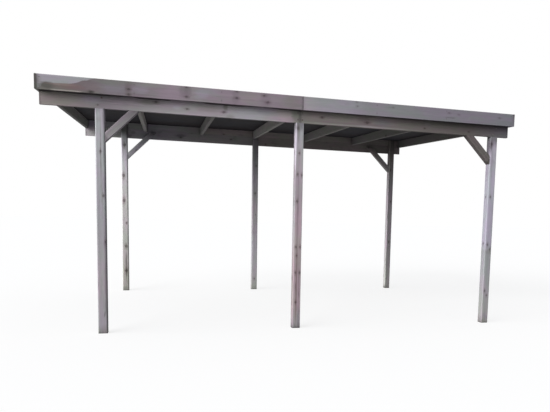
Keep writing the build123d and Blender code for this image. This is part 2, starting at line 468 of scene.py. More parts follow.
def give_surface(bench, shader, colour, roughness, gloss, height, depth):
    """Feed a shader. The depth is how many metres a height of one stands for."""
    bench.feed(shader.inputs["Base Color"], colour)
    bench.feed(shader.inputs["Roughness"], roughness)
    shader.inputs["Specular IOR Level"].default_value = gloss
    bump = bench.add("ShaderNodeBump")
    bump.inputs["Distance"].default_value = depth
    bench.feed(bump.inputs["Height"], height)
    bench.feed(shader.inputs["Normal"], bump.outputs["Normal"])


def dress(node, material):
    """Put a material on a packed piece, in place of its plain one."""
    for slot in nodes[node].material_slots:
        slot.material = material


print("to dress:", ", ".join(sorted({name.split("_")[0] for name in nodes})))

# %% [markdown]
# ## One finish for each timber
# Boards that share a material look stamped out. So each timber gets its own material, built from
# the same groups but with its own seed, tones and knots. The function below first finds out how
# the piece lies, then builds: position, knots, tones along the board, patches, and the timber
# group over all of it.

# %% Ways that a timber can run
ROOF_SLOPE = math.atan(1 / 30)
SLOPE_COS, SLOPE_SIN = math.cos(ROOF_SLOPE), math.sin(ROOF_SLOPE)
DIAGONAL = math.sqrt(0.5)
RUNS = {
    "upright": (Vector((0, 0, 1)), Vector((1, 0, 0))),
    "level": (Vector((1, 0, 0)), Vector((0, 0, 1))),
    "sloping": (Vector((0, SLOPE_COS, SLOPE_SIN)), Vector((0, -SLOPE_SIN, SLOPE_COS))),
    "leaning right": (Vector((DIAGONAL, 0, DIAGONAL)), Vector((-DIAGONAL, 0, DIAGONAL))),
    "leaning left": (Vector((-DIAGONAL, 0, DIAGONAL)), Vector((DIAGONAL, 0, DIAGONAL))),
}
print("a timber can be", ", ".join(RUNS))


def lay_of(node, run, section=None):
    """Where a timber's middle is, and half its size along, across and through."""
    low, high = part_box(node)
    middle, half = (low + high) / 2, (high - low) / 2
    along, across = RUNS[run]
    through = along.cross(across)
    sizes = [sum(abs(way[i]) * half[i] for i in range(3)) for way in (along, across, through)]
    if run == "sloping":
        sizes[1] = half.z * SLOPE_COS - half.y * SLOPE_SIN
    elif section:
        # The middle of a brace's box lies on the brace's lower edge.
        middle = middle + across * section[0] / 2
        sizes = [Vector((half.x, 0, half.z)).length - section[0] / 2, section[0] / 2, section[1] / 2]
    return middle, along, across, sizes


# %% The finish itself
RING_WIDTH = 0.005     # from one year to the next, in metres
PATCH_SHARE = 0.3      # how much of a board dries at its own pace
PATCH_STRENGTH = 0.7
TIMBER_GLOSS = 0.25
MILLIMETRE = 0.001     # the group's height is in millimetres


def timber_finish(node, run, tones, patch, knots=(), scattered=(0.3, 0.013, 0.0), core=0.03,
                  contrast=0.5, cracks=0.3, knot_dark=0.85, edge_light=0.15, end_dark=0.35, wander=0.25,
                  section=None, stains=None):
    """Give one packed timber its own material. Tones are (metres along, lightness, leaning).
    A knot is (metres along, metres across, the way it faces, radius), from the timber's middle.
    Scattered knots are (spacing, radius, share of the places that hold one)."""
    seed = float(len(bpy.data.materials))
    middle, along, across, half = lay_of(node, run, section)
    material, bench, shader = new_finish(node + "_timber")
    place = bench.use("Board Position", Centre=middle, Along=along, Across=across)["Position"]
    spacing, radius, share = scattered
    marks = bench.use("Scattered Knots", Position=place, Knots=0.0, Halo=0.0, Spacing=spacing,
                      Radius=radius, Share=share, Seed=seed)
    for knot_along, beside, facing, radius in knots:
        # On a side face a knot moves through the timber, on the others across it.
        spot = (knot_along, 0.0, beside) if facing[1] else (knot_along, beside, 0.0)
        marks = bench.use("Branch Knot", **passed_on(marks), Place=spot, Facing=facing, Radius=radius)
    start, length = tones[0][0], tones[-1][0] - tones[0][0]
    ramp = bench.add("ShaderNodeValToRGB")
    bench.feed(ramp.inputs["Fac"], bench.use("Tone Walk", Position=place, Start=start, Length=length,
                                             Wander=wander, Seed=seed)["Share"])
    while len(ramp.color_ramp.elements) < len(tones):
        ramp.color_ramp.elements.new(1.0)
    for element, (metres, level, leaning) in zip(ramp.color_ramp.elements, tones):
        element.position = (metres - start) / length
        element.color = shade(level, leaning)
    damp = bench.use("Damp Patches", Position=place, Share=PATCH_SHARE, Seed=seed)["Patch"]
    colour = bench.mix(bench.times(damp, PATCH_STRENGTH), ramp.outputs["Color"], shade(*patch))
    if stains:
        colour = stains(bench, place, colour, seed)
    timber = bench.use("Weathered Timber", **passed_on(marks), Base_Color=colour, Half_Size=half,
                       Ring_Width=RING_WIDTH, Core_Depth=core, Contrast=contrast, Cracks=cracks,
                       Knot_Dark=knot_dark, Edge_Light=edge_light, End_Dark=end_dark, Seed=seed)
    give_surface(bench, shader, timber["Color"], timber["Roughness"], TIMBER_GLOSS,
                 timber["Height"], MILLIMETRE)
    dress(node, material)


# %% Stains with a known place, on any timber
def lay_stains(bench, place, colour, seed, stains, middle=0.0):
    """Lay stains over a colour. Each is (along, across, reach along, reach across, lightness,
    leaning, strength). The middle is where along is zero for the group Board Position."""
    for along, across, long, wide, level, leaning, strength in stains:
        spot = bench.use("Stain Spot", Position=place, Place=(along - middle, across, 0.0),
                         Reach=(long, wide, 1.0), Seed=seed + along)["Spot"]
        colour = bench.mix(bench.times(spot, strength), colour, shade(level, leaning))
    return colour


print("a stain spot is a group of", len(bpy.data.node_groups["Stain Spot"].nodes), "nodes")

# %% [markdown]
# ## The posts
# Each post is sawn from a whole young log, so the core runs up its middle and the branches come
# out on all four faces. The left faces look into the light and the right faces away from it, and
# the finish paints that light and shade onto the sides as well. The feet stay damp, and a little
# green grows there. Heights below are from the ground.

# %% Heights on a post
TO_FRONT, TO_LEFT, TO_RIGHT, TO_BACK = (0, 0, -1), (0, -1, 0), (0, 1, 0), (0, 0, 1)
EDGE = 0.045         # from the middle of a post to the start of its rounded corner
FOOT_REACH = 0.12    # how far above its height the damp of a foot fades
X, Y, Z = 0, 1, 2


def middle_of(node, axis):
    """Where the middle of a packed piece is along one axis."""
    low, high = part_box(node)
    return (low[axis] + high[axis]) / 2


def post_stains_and_side_light(middle, left, right, foot, band, marks):
    """Painted light and shade on a post's left and right sides, its damp foot, and marks with a known place.
    """

    def stain(bench, place, colour, seed):
        along, across, _ = bench.split(place)
        torn = bench.minus(bench.noise(place, (4.0, 20.0, 20.0), seed, 3.0), 0.5)
        ragged = bench.times_plus(torn, 0.03, across)
        # Painted light or shade on the left and right edges and sides: a factor above one lightens, below one
        # darkens.
        for side, factor in ((-1, left), (1, right)):
            near = bench.fade(bench.times(ragged, side), EDGE - band, EDGE - band * 0.35)
            colour = bench.scaled(colour, bench.times_plus(near, factor - 1, 1.0))
        colour = lay_stains(bench, place, colour, seed, marks, middle)
        height, level, leaning = foot
        rise = bench.times_plus(bench.noise(place, (3.0, 25.0, 25.0), seed, 2.0), -FOOT_REACH, along)
        wet = bench.fade(rise, height - middle, height - middle - FOOT_REACH)
        return bench.mix(bench.times(wet, 0.7), colour, shade(level, leaning))
    return stain


def finish_post(which, tones, knots, left, right, foot, patch, band=0.022, marks=(), **look):
    """Knots are (the way they face, then (height, across, radius) for each). Left and right are factors of
    painted light and shade on the sides, and band is how wide those strips are. A foot is (height, lightness,
    leaning)."""
    node = "post_" + which
    middle = middle_of(node, Z)
    timber_finish(node, "upright", [(height - middle, *rest) for height, *rest in tones], patch,
                  [(height - middle, across, facing, radius)
                   for facing, *group in knots for height, across, radius in group],
                  stains=post_stains_and_side_light(middle, left, right, foot, band, marks), **look)


print("a post stands on the ground, with its middle", round(middle_of("post_front_left", Z), 3), "m up")

# %% Front posts
# The last tone of each front post is a painted shadow of the beam on the top of the post.
finish_post("front_left",
            tones=((0.0, 0.305, STEEL), (0.5, 0.325, PEARL), (1.3, 0.335, STEEL), (1.9, 0.385, STEEL),
                   (2.3, 0.385, STEEL), (2.38, 0.24, STEEL)),
            knots=((TO_FRONT, (1.94, 0.0, 0.012), (1.48, 0.025, 0.012), (0.99, 0.042, 0.013)),
                   (TO_RIGHT, (1.02, 0.01, 0.014)), (TO_LEFT, (1.95, 0.0, 0.013), (0.9, -0.01, 0.013))),
            left=1.12, right=0.53, foot=(0.06, 0.2, OLIVE), patch=(0.27, MAUVE), cracks=0.5,
            marks=((1.9, 0.002, 0.5, 0.004, 0.13, BROWN, 0.7), (1.55, 0.012, 0.3, 0.003, 0.15, BROWN, 0.7)))
finish_post("front_middle",
            tones=((0.0, 0.29, PEARL), (0.25, 0.325, ROSE), (0.7, 0.31, ROSE), (1.2, 0.35, ROSE),
                   (1.55, 0.31, MAUVE), (2.0, 0.335, PEARL), (2.3, 0.335, STEEL), (2.38, 0.2, STEEL)),
            knots=((TO_FRONT, (2.32, -0.02, 0.018), (2.04, 0.0, 0.012), (1.80, -0.015, 0.012),
                    (1.79, 0.035, 0.013), (1.49, -0.015, 0.014), (0.96, -0.02, 0.012), (0.96, 0.03, 0.012),
                    (0.86, -0.01, 0.012), (0.66, -0.02, 0.012), (0.66, 0.03, 0.012), (0.31, -0.01, 0.013)),
                   (TO_LEFT, (2.05, 0.0, 0.013), (1.49, 0.0, 0.013), (0.30, 0.0, 0.013))),
            left=1.0, right=1.12, foot=(0.03, 0.06, OLIVE), band=0.014,
            patch=(0.19, ROSE), contrast=0.7, cracks=0.6,
            # The pale STEEL marks at 0.042 to 0.044 either side of the middle are painted highlights on the
            # rounded corners, with a darker strip beside the left one.
            marks=((0.12, 0.025, 0.12, 0.018, 0.2, STEEL, 0.8), (0.5, -0.008, 0.55, 0.014, 0.14, RUSSET, 0.7),
                   (0.5, 0.02, 0.35, 0.008, 0.2, ROSE, 0.7), (1.3, -0.008, 0.5, 0.011, 0.18, ROSE, 0.6),
                   (2.28, -0.012, 0.14, 0.012, 0.17, OLIVE, 0.6), (2.1, -0.042, 0.3, 0.008, 0.66, STEEL, 0.9),
                   (2.0, 0.042, 0.45, 0.007, 0.46, STEEL, 0.8), (2.05, -0.028, 0.25, 0.006, 0.27, STEEL, 0.6),
                   (1.3, -0.044, 0.5, 0.007, 0.34, STEEL, 0.8), (1.2, 0.044, 0.5, 0.007, 0.4, STEEL, 0.8)))
finish_post("front_right",
            tones=((0.0, 0.30, CREAM), (0.7, 0.30, STEEL), (0.9, 0.29, STEEL), (1.05, 0.35, VIOLET),
                   (1.8, 0.37, VIOLET), (2.26, 0.35, LILAC), (2.36, 0.16, STEEL)),
            knots=((TO_FRONT, (2.29, -0.03, 0.016), (1.63, -0.01, 0.012), (1.02, -0.015, 0.013),
                    (0.96, 0.025, 0.012), (0.42, -0.02, 0.012), (0.36, 0.01, 0.01)),
                   (TO_LEFT, (1.63, 0.0, 0.013), (1.03, 0.0, 0.013)), (TO_RIGHT, (1.64, 0.01, 0.013))),
            left=1.15, right=0.9, foot=(0.05, 0.2, OLIVE), patch=(0.25, LILAC), cracks=0.5,
            marks=((2.27, -0.036, 0.1, 0.018, 0.11, STEEL, 0.85), (2.1, -0.012, 0.25, 0.01, 0.24, STEEL, 0.6),
                   (0.93, 0.0, 0.035, 0.06, 0.2, OLIVE, 0.5)))
print("front posts finished")

# %% Back posts
# The top tones of each back post are painted shade from the beam and the roof above it.
finish_post("back_left",
            tones=((0.0, 0.36, OLIVE), (0.35, 0.40, OLIVE), (0.8, 0.46, CREAM), (1.5, 0.53, CREAM),
                   (2.1, 0.60, STEEL), (2.5, 0.48, STEEL), (2.6, 0.13, CREAM)),
            knots=((TO_FRONT, (2.38, 0.0, 0.023), (1.89, -0.02, 0.023), (1.48, -0.018, 0.023),
                    (1.12, 0.02, 0.012), (0.74, 0.01, 0.022), (0.33, 0.01, 0.024)),
                   (TO_BACK, (1.9, 0.0, 0.014), (0.7, 0.01, 0.014))),
            left=1.1, right=0.5, foot=(0.05, 0.2, OLIVE), band=0.016,
            patch=(0.40, CREAM), cracks=0.4, wander=0.12, knot_dark=1.0,
            marks=((0.4, 0.012, 0.3, 0.016, 0.14, OLIVE, 0.8),))
finish_post("back_middle",
            tones=((0.0, 0.35, CREAM), (0.8, 0.415, STEEL), (1.4, 0.40, PEARL), (1.9, 0.35, STEEL),
                   (2.35, 0.25, STEEL), (2.6, 0.15, PEARL)),
            knots=((TO_FRONT, (1.68, 0.0, 0.015), (0.19, 0.0, 0.013), (2.15, 0.01, 0.012)),
                   (TO_BACK, (1.2, 0.0, 0.014))),
            left=1.1, right=0.85, foot=(0.05, 0.22, OLIVE), patch=(0.31, PEARL), cracks=0.4)
finish_post("back_right",
            tones=((0.0, 0.265, CREAM), (0.9, 0.255, PEARL), (1.5, 0.27, PEARL), (2.0, 0.225, PEARL),
                   (2.35, 0.15, BROWN), (2.55, 0.07, BROWN)),
            knots=((TO_FRONT, (0.87, 0.0, 0.015), (1.62, 0.01, 0.012), (2.2, -0.01, 0.012)),
                   (TO_BACK, (1.6, 0.0, 0.014))),
            left=2.3, right=0.85, foot=(0.05, 0.18, OLIVE), band=0.012, patch=(0.2, PEARL), cracks=0.4)
print("back posts finished, and each post has its own knots")

# %% [markdown]
# ## The beams
# Each row of posts carries a beam in two lengths that meet on the middle post. The left length
# of the front beam lies in the light and has silvered, the right one is still brown, and where
# they meet the run-off from the joint has left an olive stain. Heights are from the lower edge.

# %% Places and stains on a beam
FORWARD = (0, 0, 1)


def from_middle(node, marks):
    """Turn places along the carport and heights above a board's lower edge into distances
    from the board's middle."""
    low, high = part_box(node)
    middle, half = middle_of(node, X), (high.z - low.z) / 2
    return [(x - middle, height - half, *rest) for x, height, *rest in marks]


def outward_of(node):
    """Which way through a board is outdoors. Through points to the front in every level board."""
    return 1 if "front" in node else -1


def finish_board(node, tones, patch, knots=(), **look):
    """Finish a level board. Tones are (place, lightness, leaning), knots are (place, height, radius)."""
    middle = middle_of(node, X)
    timber_finish(node, "level", [(x - middle, *rest) for x, *rest in tones], patch,
                  [(x, y, FORWARD, radius) for x, y, radius in from_middle(node, knots)], **look)


def beam_stains_and_shade(node, marks, fascia_shadow, gap_shade_strength):
    """A beam's marks, a painted shadow of the fascia on its upper half, and painted shade under the fascia.
    """
    low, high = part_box(node)
    middle, half = middle_of(node, X), (high.z - low.z) / 2

    def stain(bench, place, colour, seed):
        along, across, through = bench.split(place)
        colour = lay_stains(bench, place, colour, seed, from_middle(node, marks))
        # A painted shadow of the fascia darkens the upper half over part of the beam's length.
        if fascia_shadow:
            start, end, amount = fascia_shadow
            upper = bench.times(bench.fade(across, -half, half * 0.9),
                                bench.fade(along, start - middle, end - middle))
            colour = bench.scaled(colour, bench.times_plus(upper, -amount, 1.0))
        # The gap under the fascia gets painted shade: a nearly black line along the outer face's upper edge.
        gap_shade = bench.use("Painted Gap Shade", Position=place, Half_Height=half, Depth=0.016, Seed=seed)["Dirt"]
        outer_side = bench.fade(bench.times(through, outward_of(node)), 0.0, 0.008, 0.0, gap_shade_strength)
        return bench.mix(bench.times(gap_shade, outer_side), colour, shade(0.03, ROSE))
    return stain


def finish_beam(which, tones, patch, knots=(), marks=(), fascia_shadow=None, gap_shade_strength=0.8, **look):
    """The painted shadow of the fascia on the upper half is given as where it starts, where it is
    darkest, and how much. The painted shade under the fascia is given as a strength."""
    node = "beam_" + which
    finish_board(node, tones, patch, knots, stains=beam_stains_and_shade(node, marks, fascia_shadow, gap_shade_strength), **look)


# %% Beams
# The front beams carry a painted shadow of the fascia on their upper halves.
finish_beam("front_left",
            tones=((-2.7, 0.235, BROWN), (-2.5, 0.215, BROWN), (-2.1, 0.205, PEARL), (-1.75, 0.26, PEARL),
                   (-1.3, 0.335, PEARL), (-0.5, 0.345, PEARL), (-0.2, 0.31, MAUVE), (-0.05, 0.21, OLIVE)),
            knots=((-2.15, 0.035, 0.006), (-1.57, 0.11, 0.012), (-0.86, 0.055, 0.014), (-1.25, 0.06, 0.012)),
            marks=((-2.2, 0.09, 0.12, 0.05, 0.25, LILAC, 0.6), (-1.64, 0.1, 0.16, 0.03, 0.15, OLIVE, 0.7),
                   (-1.36, 0.07, 0.05, 0.03, 0.40, LILAC, 0.6), (-1.02, 0.08, 0.14, 0.05, 0.26, OLIVE, 0.6),
                   (-0.84, 0.11, 0.03, 0.06, 0.17, OLIVE, 0.7), (-0.79, 0.01, 0.06, 0.03, 0.20, OLIVE, 0.6),
                   (-0.6, 0.05, 0.22, 0.09, 0.38, LILAC, 0.7), (-0.4, 0.1, 0.1, 0.05, 0.3, VIOLET, 0.6),
                   (-0.17, 0.06, 0.1, 0.09, 0.34, ROSE, 0.6), (-0.02, 0.07, 0.08, 0.12, 0.17, OLIVE, 0.7)),
            patch=(0.27, BROWN), wander=0.2, contrast=0.35, fascia_shadow=(-1.4, -2.6, 0.15))
finish_beam("front_right",
            tones=((0.0, 0.18, OLIVE), (0.15, 0.185, BROWN), (0.8, 0.165, BROWN), (1.2, 0.145, BROWN),
                   (1.8, 0.112, BROWN), (2.2, 0.097, BROWN), (2.7, 0.11, LILAC)),
            knots=((0.26, 0.08, 0.013), (0.81, 0.06, 0.017), (1.55, 0.045, 0.009), (2.15, 0.04, 0.007)),
            marks=((0.42, 0.035, 0.24, 0.012, 0.17, ROSE, 0.75), (0.78, 0.09, 0.1, 0.05, 0.12, BROWN, 0.6),
                   (0.8, 0.015, 0.16, 0.012, 0.24, CREAM, 0.6), (0.7, 0.012, 0.75, 0.008, 0.26, CREAM, 0.6),
                   (1.0, 0.07, 0.12, 0.05, 0.16, LILAC, 0.5)),
            patch=(0.15, MAUVE), contrast=0.4, fascia_shadow=(0.9, 1.7, 0.3), gap_shade_strength=0.45)
finish_beam("back_left",
            tones=((-2.7, 0.40, PEARL), (-2.3, 0.32, CREAM), (-1.7, 0.26, LILAC), (-0.8, 0.26, CREAM),
                   (0.0, 0.235, CREAM)),
            knots=((-1.23, 0.06, 0.014), (-0.4, 0.08, 0.013)),
            marks=((-1.23, 0.09, 0.1, 0.03, 0.10, LILAC, 0.6), (-1.72, 0.06, 0.08, 0.03, 0.11, LILAC, 0.5),
                   (-1.98, 0.09, 0.05, 0.03, 0.11, MAUVE, 0.5)),
            patch=(0.14, MAUVE), contrast=0.45, scattered=(0.4, 0.013, 0.35))
finish_beam("back_right",
            tones=((0.0, 0.225, BROWN), (1.0, 0.195, BROWN), (1.9, 0.175, BROWN), (2.4, 0.13, BROWN),
                   (2.7, 0.14, BROWN)),
            patch=(0.12, MAUVE), contrast=0.45, scattered=(0.4, 0.013, 0.35))
print("beams finished")

# %% [markdown]
# ## The blocking
# Short boards close the gaps between the rafters over each beam. Nobody sees them in the light,
# so they stayed close to the brown that planed wood has after a year or two.

# %% Blocking
BLOCKING_TONES = (0.31, 0.28, 0.28, 0.265, 0.235, 0.17)
for row in ("front", "back"):
    for number, level in enumerate(BLOCKING_TONES, start=1):
        left_leaning, right_leaning = (LILAC, CREAM) if number < 3 else (BROWN, BROWN)
        timber_finish(f"blocking_{row}_{number}", "level",
                      [(-0.4, level, left_leaning), (0.4, level * 0.97, right_leaning)],
                      patch=(level * 0.7, MAUVE), contrast=0.4, cracks=0.15,
                      scattered=(0.3, 0.012, 0.35), edge_light=0.0)
print("blocking finished")

# %% [markdown]
# ## The fascia boards
# The fascia hides the ends of the rafters and takes the weather head on, so it shows the most.
# At the left end the sun has silvered the upper part, and rain that creeps up from the lower
# edge has left a brown tide line. A float curve draws that line: it takes the place along the
# board and gives the height of the stain. The board on the right is cooler and greyer, because
# it was cut from another log. Every board is screwed to each rafter end with two screws, sunk
# flush, so they are a pattern that repeats with the rafters and need no geometry.

# %% Screw Rows
bench, place, first, step, row_offset, outward, seed = start_group(
    "Screw Rows", takes="Position, First, Step, Offset, Outward, Seed", gives="Head, Stain")
along, across, through = bench.split(place)
in_steps = bench.calc("DIVIDE", bench.minus(along, first), step)
from_screw = bench.times(bench.minus(in_steps, bench.calc("ROUND", in_steps)), step)
from_row = bench.minus(bench.size(across), row_offset)
distance = bench.vector("LENGTH", bench.join(from_screw, from_row, 0.0))
outer_side = bench.fade(bench.times(through, outward), 0.0, 0.008)
below = bench.vector("LENGTH", bench.join(bench.times(from_screw, 3.5), bench.plus(across, row_offset), 0.0))
run = bench.noise(place, (90.0, 12.0, 12.0), seed, 2.0)
streaked = bench.times(bench.fade(below, 0.034, 0.006), run)
end_group(bench, Head=bench.times(bench.fade(distance, 0.0048, 0.0036), outer_side),
          Stain=bench.times(bench.larger(bench.fade(distance, 0.011, 0.003), streaked), outer_side))

# %% Screws in a fascia board
RAFTER_STEP = (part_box("rafter_7")[0].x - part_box("rafter_1")[0].x) / 6
SCREW_OFFSET = 0.045    # from the middle of a fascia board up or down to its screws


def screwed(node, own_stains):
    """Stain a board round the flush screws that hold it to the rafters, after its own stains."""
    first = middle_of("rafter_1", X) - middle_of(node, X)

    def stain(bench, place, colour, seed):
        if own_stains:
            colour = own_stains(bench, place, colour, seed)
        screws = bench.use("Screw Rows", Position=place, First=first, Step=RAFTER_STEP,
                           Offset=SCREW_OFFSET, Outward=outward_of(node), Seed=seed)
        colour = bench.mix(bench.times(screws["Stain"], 0.35), colour, shade(0.08, BROWN))
        return bench.mix(bench.times(screws["Head"], 0.6), colour, shade(0.12, STEEL))
    return stain


def finish_fascia(which, tones, patch, knots=(), own_stains=None, **look):
    node = "fascia_" + which
    finish_board(node, tones, patch, knots, stains=screwed(node, own_stains), **look)


print("rafters are", round(RAFTER_STEP, 4), "m apart")

# %% Stains of the left front board
# The tide line is (along, across), and a stain is written as lay_stains takes it.
TIDE = ((-1.36, -0.066), (-1.33, -0.05), (-1.27, -0.002), (-1.21, -0.008), (-1.16, -0.02), (-1.0, 0.014),
        (-0.95, 0.034), (-0.88, 0.054), (-0.78, 0.09))
TIDE_LOW, TIDE_HIGH = -0.08, 0.1
SILVER_ENDS, SILVER_STARTS = -0.74, -0.84
PALE_EDGE_MIDDLE, PALE_EDGE_REACH = -1.09, 0.16
LEFT_BOARD = (
    (-1.36, 0.0, 0.05, 0.09, 0.23, CREAM, 0.6), (-1.27, -0.03, 0.085, 0.034, 0.088, BROWN, 0.9),
    (-1.06, -0.03, 0.15, 0.03, 0.132, RUSSET, 0.9), (-1.12, -0.012, 0.14, 0.014, 0.165, RUSSET, 0.9),
    (-0.80, -0.02, 0.1, 0.06, 0.155, BROWN, 0.5), (-0.85, -0.062, 0.03, 0.014, 0.06, OLIVE, 0.8),
    (-0.64, -0.01, 0.15, 0.06, 0.2, STEEL, 0.65), (-0.62, 0.045, 0.25, 0.04, 0.18, CREAM, 0.6),
    (-0.28, 0.045, 0.16, 0.035, 0.22, CREAM, 0.6), (-0.50, 0.0, 0.04, 0.10, 0.12, BROWN, 0.5),
    (-0.38, 0.0, 0.10, 0.05, 0.26, LILAC, 0.5), (0.05, 0.03, 0.05, 0.08, 0.14, MAUVE, 0.5),
    (0.10, 0.03, 0.04, 0.09, 0.13, MAUVE, 0.5), (0.24, 0.0, 0.08, 0.06, 0.28, LILAC, 0.7),
    (0.30, 0.04, 0.14, 0.05, 0.26, LILAC, 0.5), (0.60, 0.0, 0.05, 0.11, 0.16, MAUVE, 0.5),
    (0.76, 0.02, 0.12, 0.08, 0.24, ROSE, 0.4), (0.93, 0.0, 0.06, 0.10, 0.16, MAUVE, 0.45),
    (1.24, 0.0, 0.10, 0.10, 0.17, BROWN, 0.4))


def tide_height(bench, along):
    """A float curve that gives the height of the tide line at a place along the board."""
    start, length, rise = TIDE[0][0], TIDE[-1][0] - TIDE[0][0], TIDE_HIGH - TIDE_LOW
    curve = bench.add("ShaderNodeFloatCurve")
    points = curve.mapping.curves[0].points
    while len(points) < len(TIDE):
        points.new(0.5, 0.5)
    for point, (x, y) in zip(points, TIDE):
        point.location = ((x - start) / length, (y - TIDE_LOW) / rise)
        point.handle_type = "AUTO_CLAMPED"
    curve.mapping.update()
    bench.feed(curve.inputs["Value"], bench.calc("DIVIDE", bench.minus(along, start), length, clamp=True))
    return bench.times_plus(curve.outputs["Value"], rise, TIDE_LOW)


def left_board_stains(bench, place, colour, seed):
    """Silver above a tide line at the far left, olive and brown below it."""
    along, across, _ = bench.split(place)
    tide = bench.use("Tide Line", Position=place, Line=tide_height(bench, along), Seed=seed)
    far_left = bench.fade(along, SILVER_ENDS, SILVER_STARTS)
    silver = bench.times(far_left, bench.minus(1.0, tide["Below"]))
    colour = bench.mix(silver, colour, shade(0.315, STEEL))
    rim = bench.times(bench.times(tide["Rim"], tide["Below"]), far_left)
    colour = bench.mix(bench.times(rim, 0.7), colour, shade(0.14, ROSE))
    # A pale strip along the lower edge, near the left end of the board.
    pale_lower_edge = bench.times(bench.fade(across, -0.060, -0.068),
                           bench.fade(bench.size(bench.minus(along, PALE_EDGE_MIDDLE)), PALE_EDGE_REACH, 0.11))
    colour = bench.mix(bench.times(pale_lower_edge, 0.75), colour, shade(0.34, BROWN))
    return lay_stains(bench, place, colour, seed, LEFT_BOARD)


print("the left front board has", len(LEFT_BOARD), "stains of its own")

# %% Front fascia boards
finish_fascia("front_left",
              tones=((-2.7, 0.14, BROWN), (-2.35, 0.138, BROWN), (-2.05, 0.157, MAUVE), (-1.7, 0.18, MAUVE),
                     (-1.4, 0.235, MAUVE), (-1.0, 0.22, MAUVE), (-0.4, 0.215, MAUVE), (0.0, 0.195, MAUVE)),
              knots=((-2.21, 0.012, 0.014), (-1.84, 0.07, 0.013), (-1.84, 0.015, 0.011),
                     (-1.26, 0.04, 0.013), (-1.26, 0.14, 0.010), (-0.73, 0.07, 0.014),
                     (-0.73, 0.14, 0.010), (-0.39, 0.05, 0.015), (-0.43, 0.12, 0.012)),
              patch=(0.18, MAUVE), contrast=0.32, knot_dark=0.8, own_stains=left_board_stains)
finish_fascia("front_right",
              tones=((0.0, 0.30, PEARL), (0.2, 0.27, STEEL), (0.55, 0.27, LILAC), (0.8, 0.223, STEEL),
                     (1.3, 0.212, STEEL), (1.6, 0.2, LILAC), (2.3, 0.185, LILAC), (2.7, 0.175, VIOLET)),
              knots=((0.65, 0.09, 0.011), (0.64, 0.135, 0.010), (1.09, 0.11, 0.010),
                     (1.82, 0.10, 0.012), (1.95, 0.09, 0.010), (2.51, 0.09, 0.011)),
              patch=(0.21, STEEL), contrast=0.3, knot_dark=0.45, end_dark=0.1)
print("front fascia boards finished")

# %% Back and end fascia boards
KNOTTY = (0.3, 0.015, 0.45)
finish_fascia("back_left", ((-2.7, 0.22, OLIVE), (-1.5, 0.24, MAUVE), (0.0, 0.22, PEARL)),
              patch=(0.17, OLIVE), contrast=0.4, scattered=KNOTTY)
finish_fascia("back_right", ((0.0, 0.26, STEEL), (1.4, 0.22, LILAC), (2.7, 0.2, STEEL)),
              patch=(0.17, STEEL), contrast=0.4, scattered=KNOTTY)
timber_finish("fascia_end_left", "sloping",
              [(-1.9, 0.20, OLIVE), (-1.6, 0.26, LILAC), (0.5, 0.25, PEARL), (1.9, 0.22, OLIVE)],
              patch=(0.17, BROWN), contrast=0.4, scattered=KNOTTY, end_dark=0.6)
timber_finish("fascia_end_right", "sloping", [(-1.9, 0.17, LILAC), (0.0, 0.20, MAUVE), (1.9, 0.17, BROWN)],
              patch=(0.14, MAUVE), contrast=0.4, scattered=KNOTTY, end_dark=0.1)
print("back and end fascia boards finished")

# %% [markdown]
# ## Rafters and braces
# Under the roof the wood stays dry but dim, and a thin green film grows on it, so the rafters are
# olive and darker to the right, away from the light, and their undersides carry a painted shade.
# The braces at the left catch the sun and are pale. The ones at the right stand in the shade.

# %% Rafters
RAFTER_LEVELS = (0.18, 0.335, 0.215, 0.34, 0.27, 0.195, 0.165)    # from left to right


def underside_shade(bench, place, colour, seed):
    """Darken the underside of a rafter with painted shade."""
    _, across, _ = bench.split(place)
    ragged = bench.times_plus(bench.noise(place, (6.0, 20.0, 20.0), seed), 0.02, across)
    return bench.scaled(colour, bench.times_plus(bench.fade(ragged, -0.045, -0.055), -0.3, 1.0))


for number, level in enumerate(RAFTER_LEVELS, start=1):
    timber_finish(f"rafter_{number}", "sloping",
                  [(-1.9, level * 0.95, OLIVE), (0.3, level, OLIVE), (1.9, level * 0.85, CREAM)],
                  patch=(level * 0.75, BROWN), contrast=0.4, cracks=0.2, scattered=(0.3, 0.012, 0.4),
                  core=0.05, edge_light=0.0, stains=underside_shade)
print(len(RAFTER_LEVELS), "rafters finished")

# %% Braces
BRACE_SECTION = (0.07, 0.095)    # how wide and how thick
# For each brace the way it leans, its tones at the foot and at the top, and its patches.
BRACE_TONES = {"front_left": ("leaning right", (0.276, PEARL), (0.165, PEARL), (0.21, CREAM)),
               "front_right": ("leaning left", (0.107, BROWN), (0.1, BROWN), (0.11, OLIVE)),
               "back_left": ("leaning right", (0.42, STEEL), (0.28, STEEL), (0.28, CREAM)),
               "back_right": ("leaning left", (0.28, CREAM), (0.175, BROWN), (0.15, BROWN))}
for which, (run, low_tone, high_tone, patch) in BRACE_TONES.items():
    # The top runs up into the shade behind the beam.
    shaded = (high_tone[0] * 0.5, high_tone[1])
    timber_finish("brace_" + which, run, [(-0.25, *low_tone), (0.12, *high_tone), (0.27, *shaded)], patch,
                  section=BRACE_SECTION, scattered=(0.2, 0.01, 0.3))
print(len(BRACE_TONES), "braces finished")

# %% [markdown]
# ## The roof boards
# The deck is made of dark coated boards. From below they are nearly black, with a slight purple
# bloom where damp gets in. Even so dark a board isn't one flat colour: it has pressed fibres,
# clouds in the coating and a paler rubbed patch here and there.

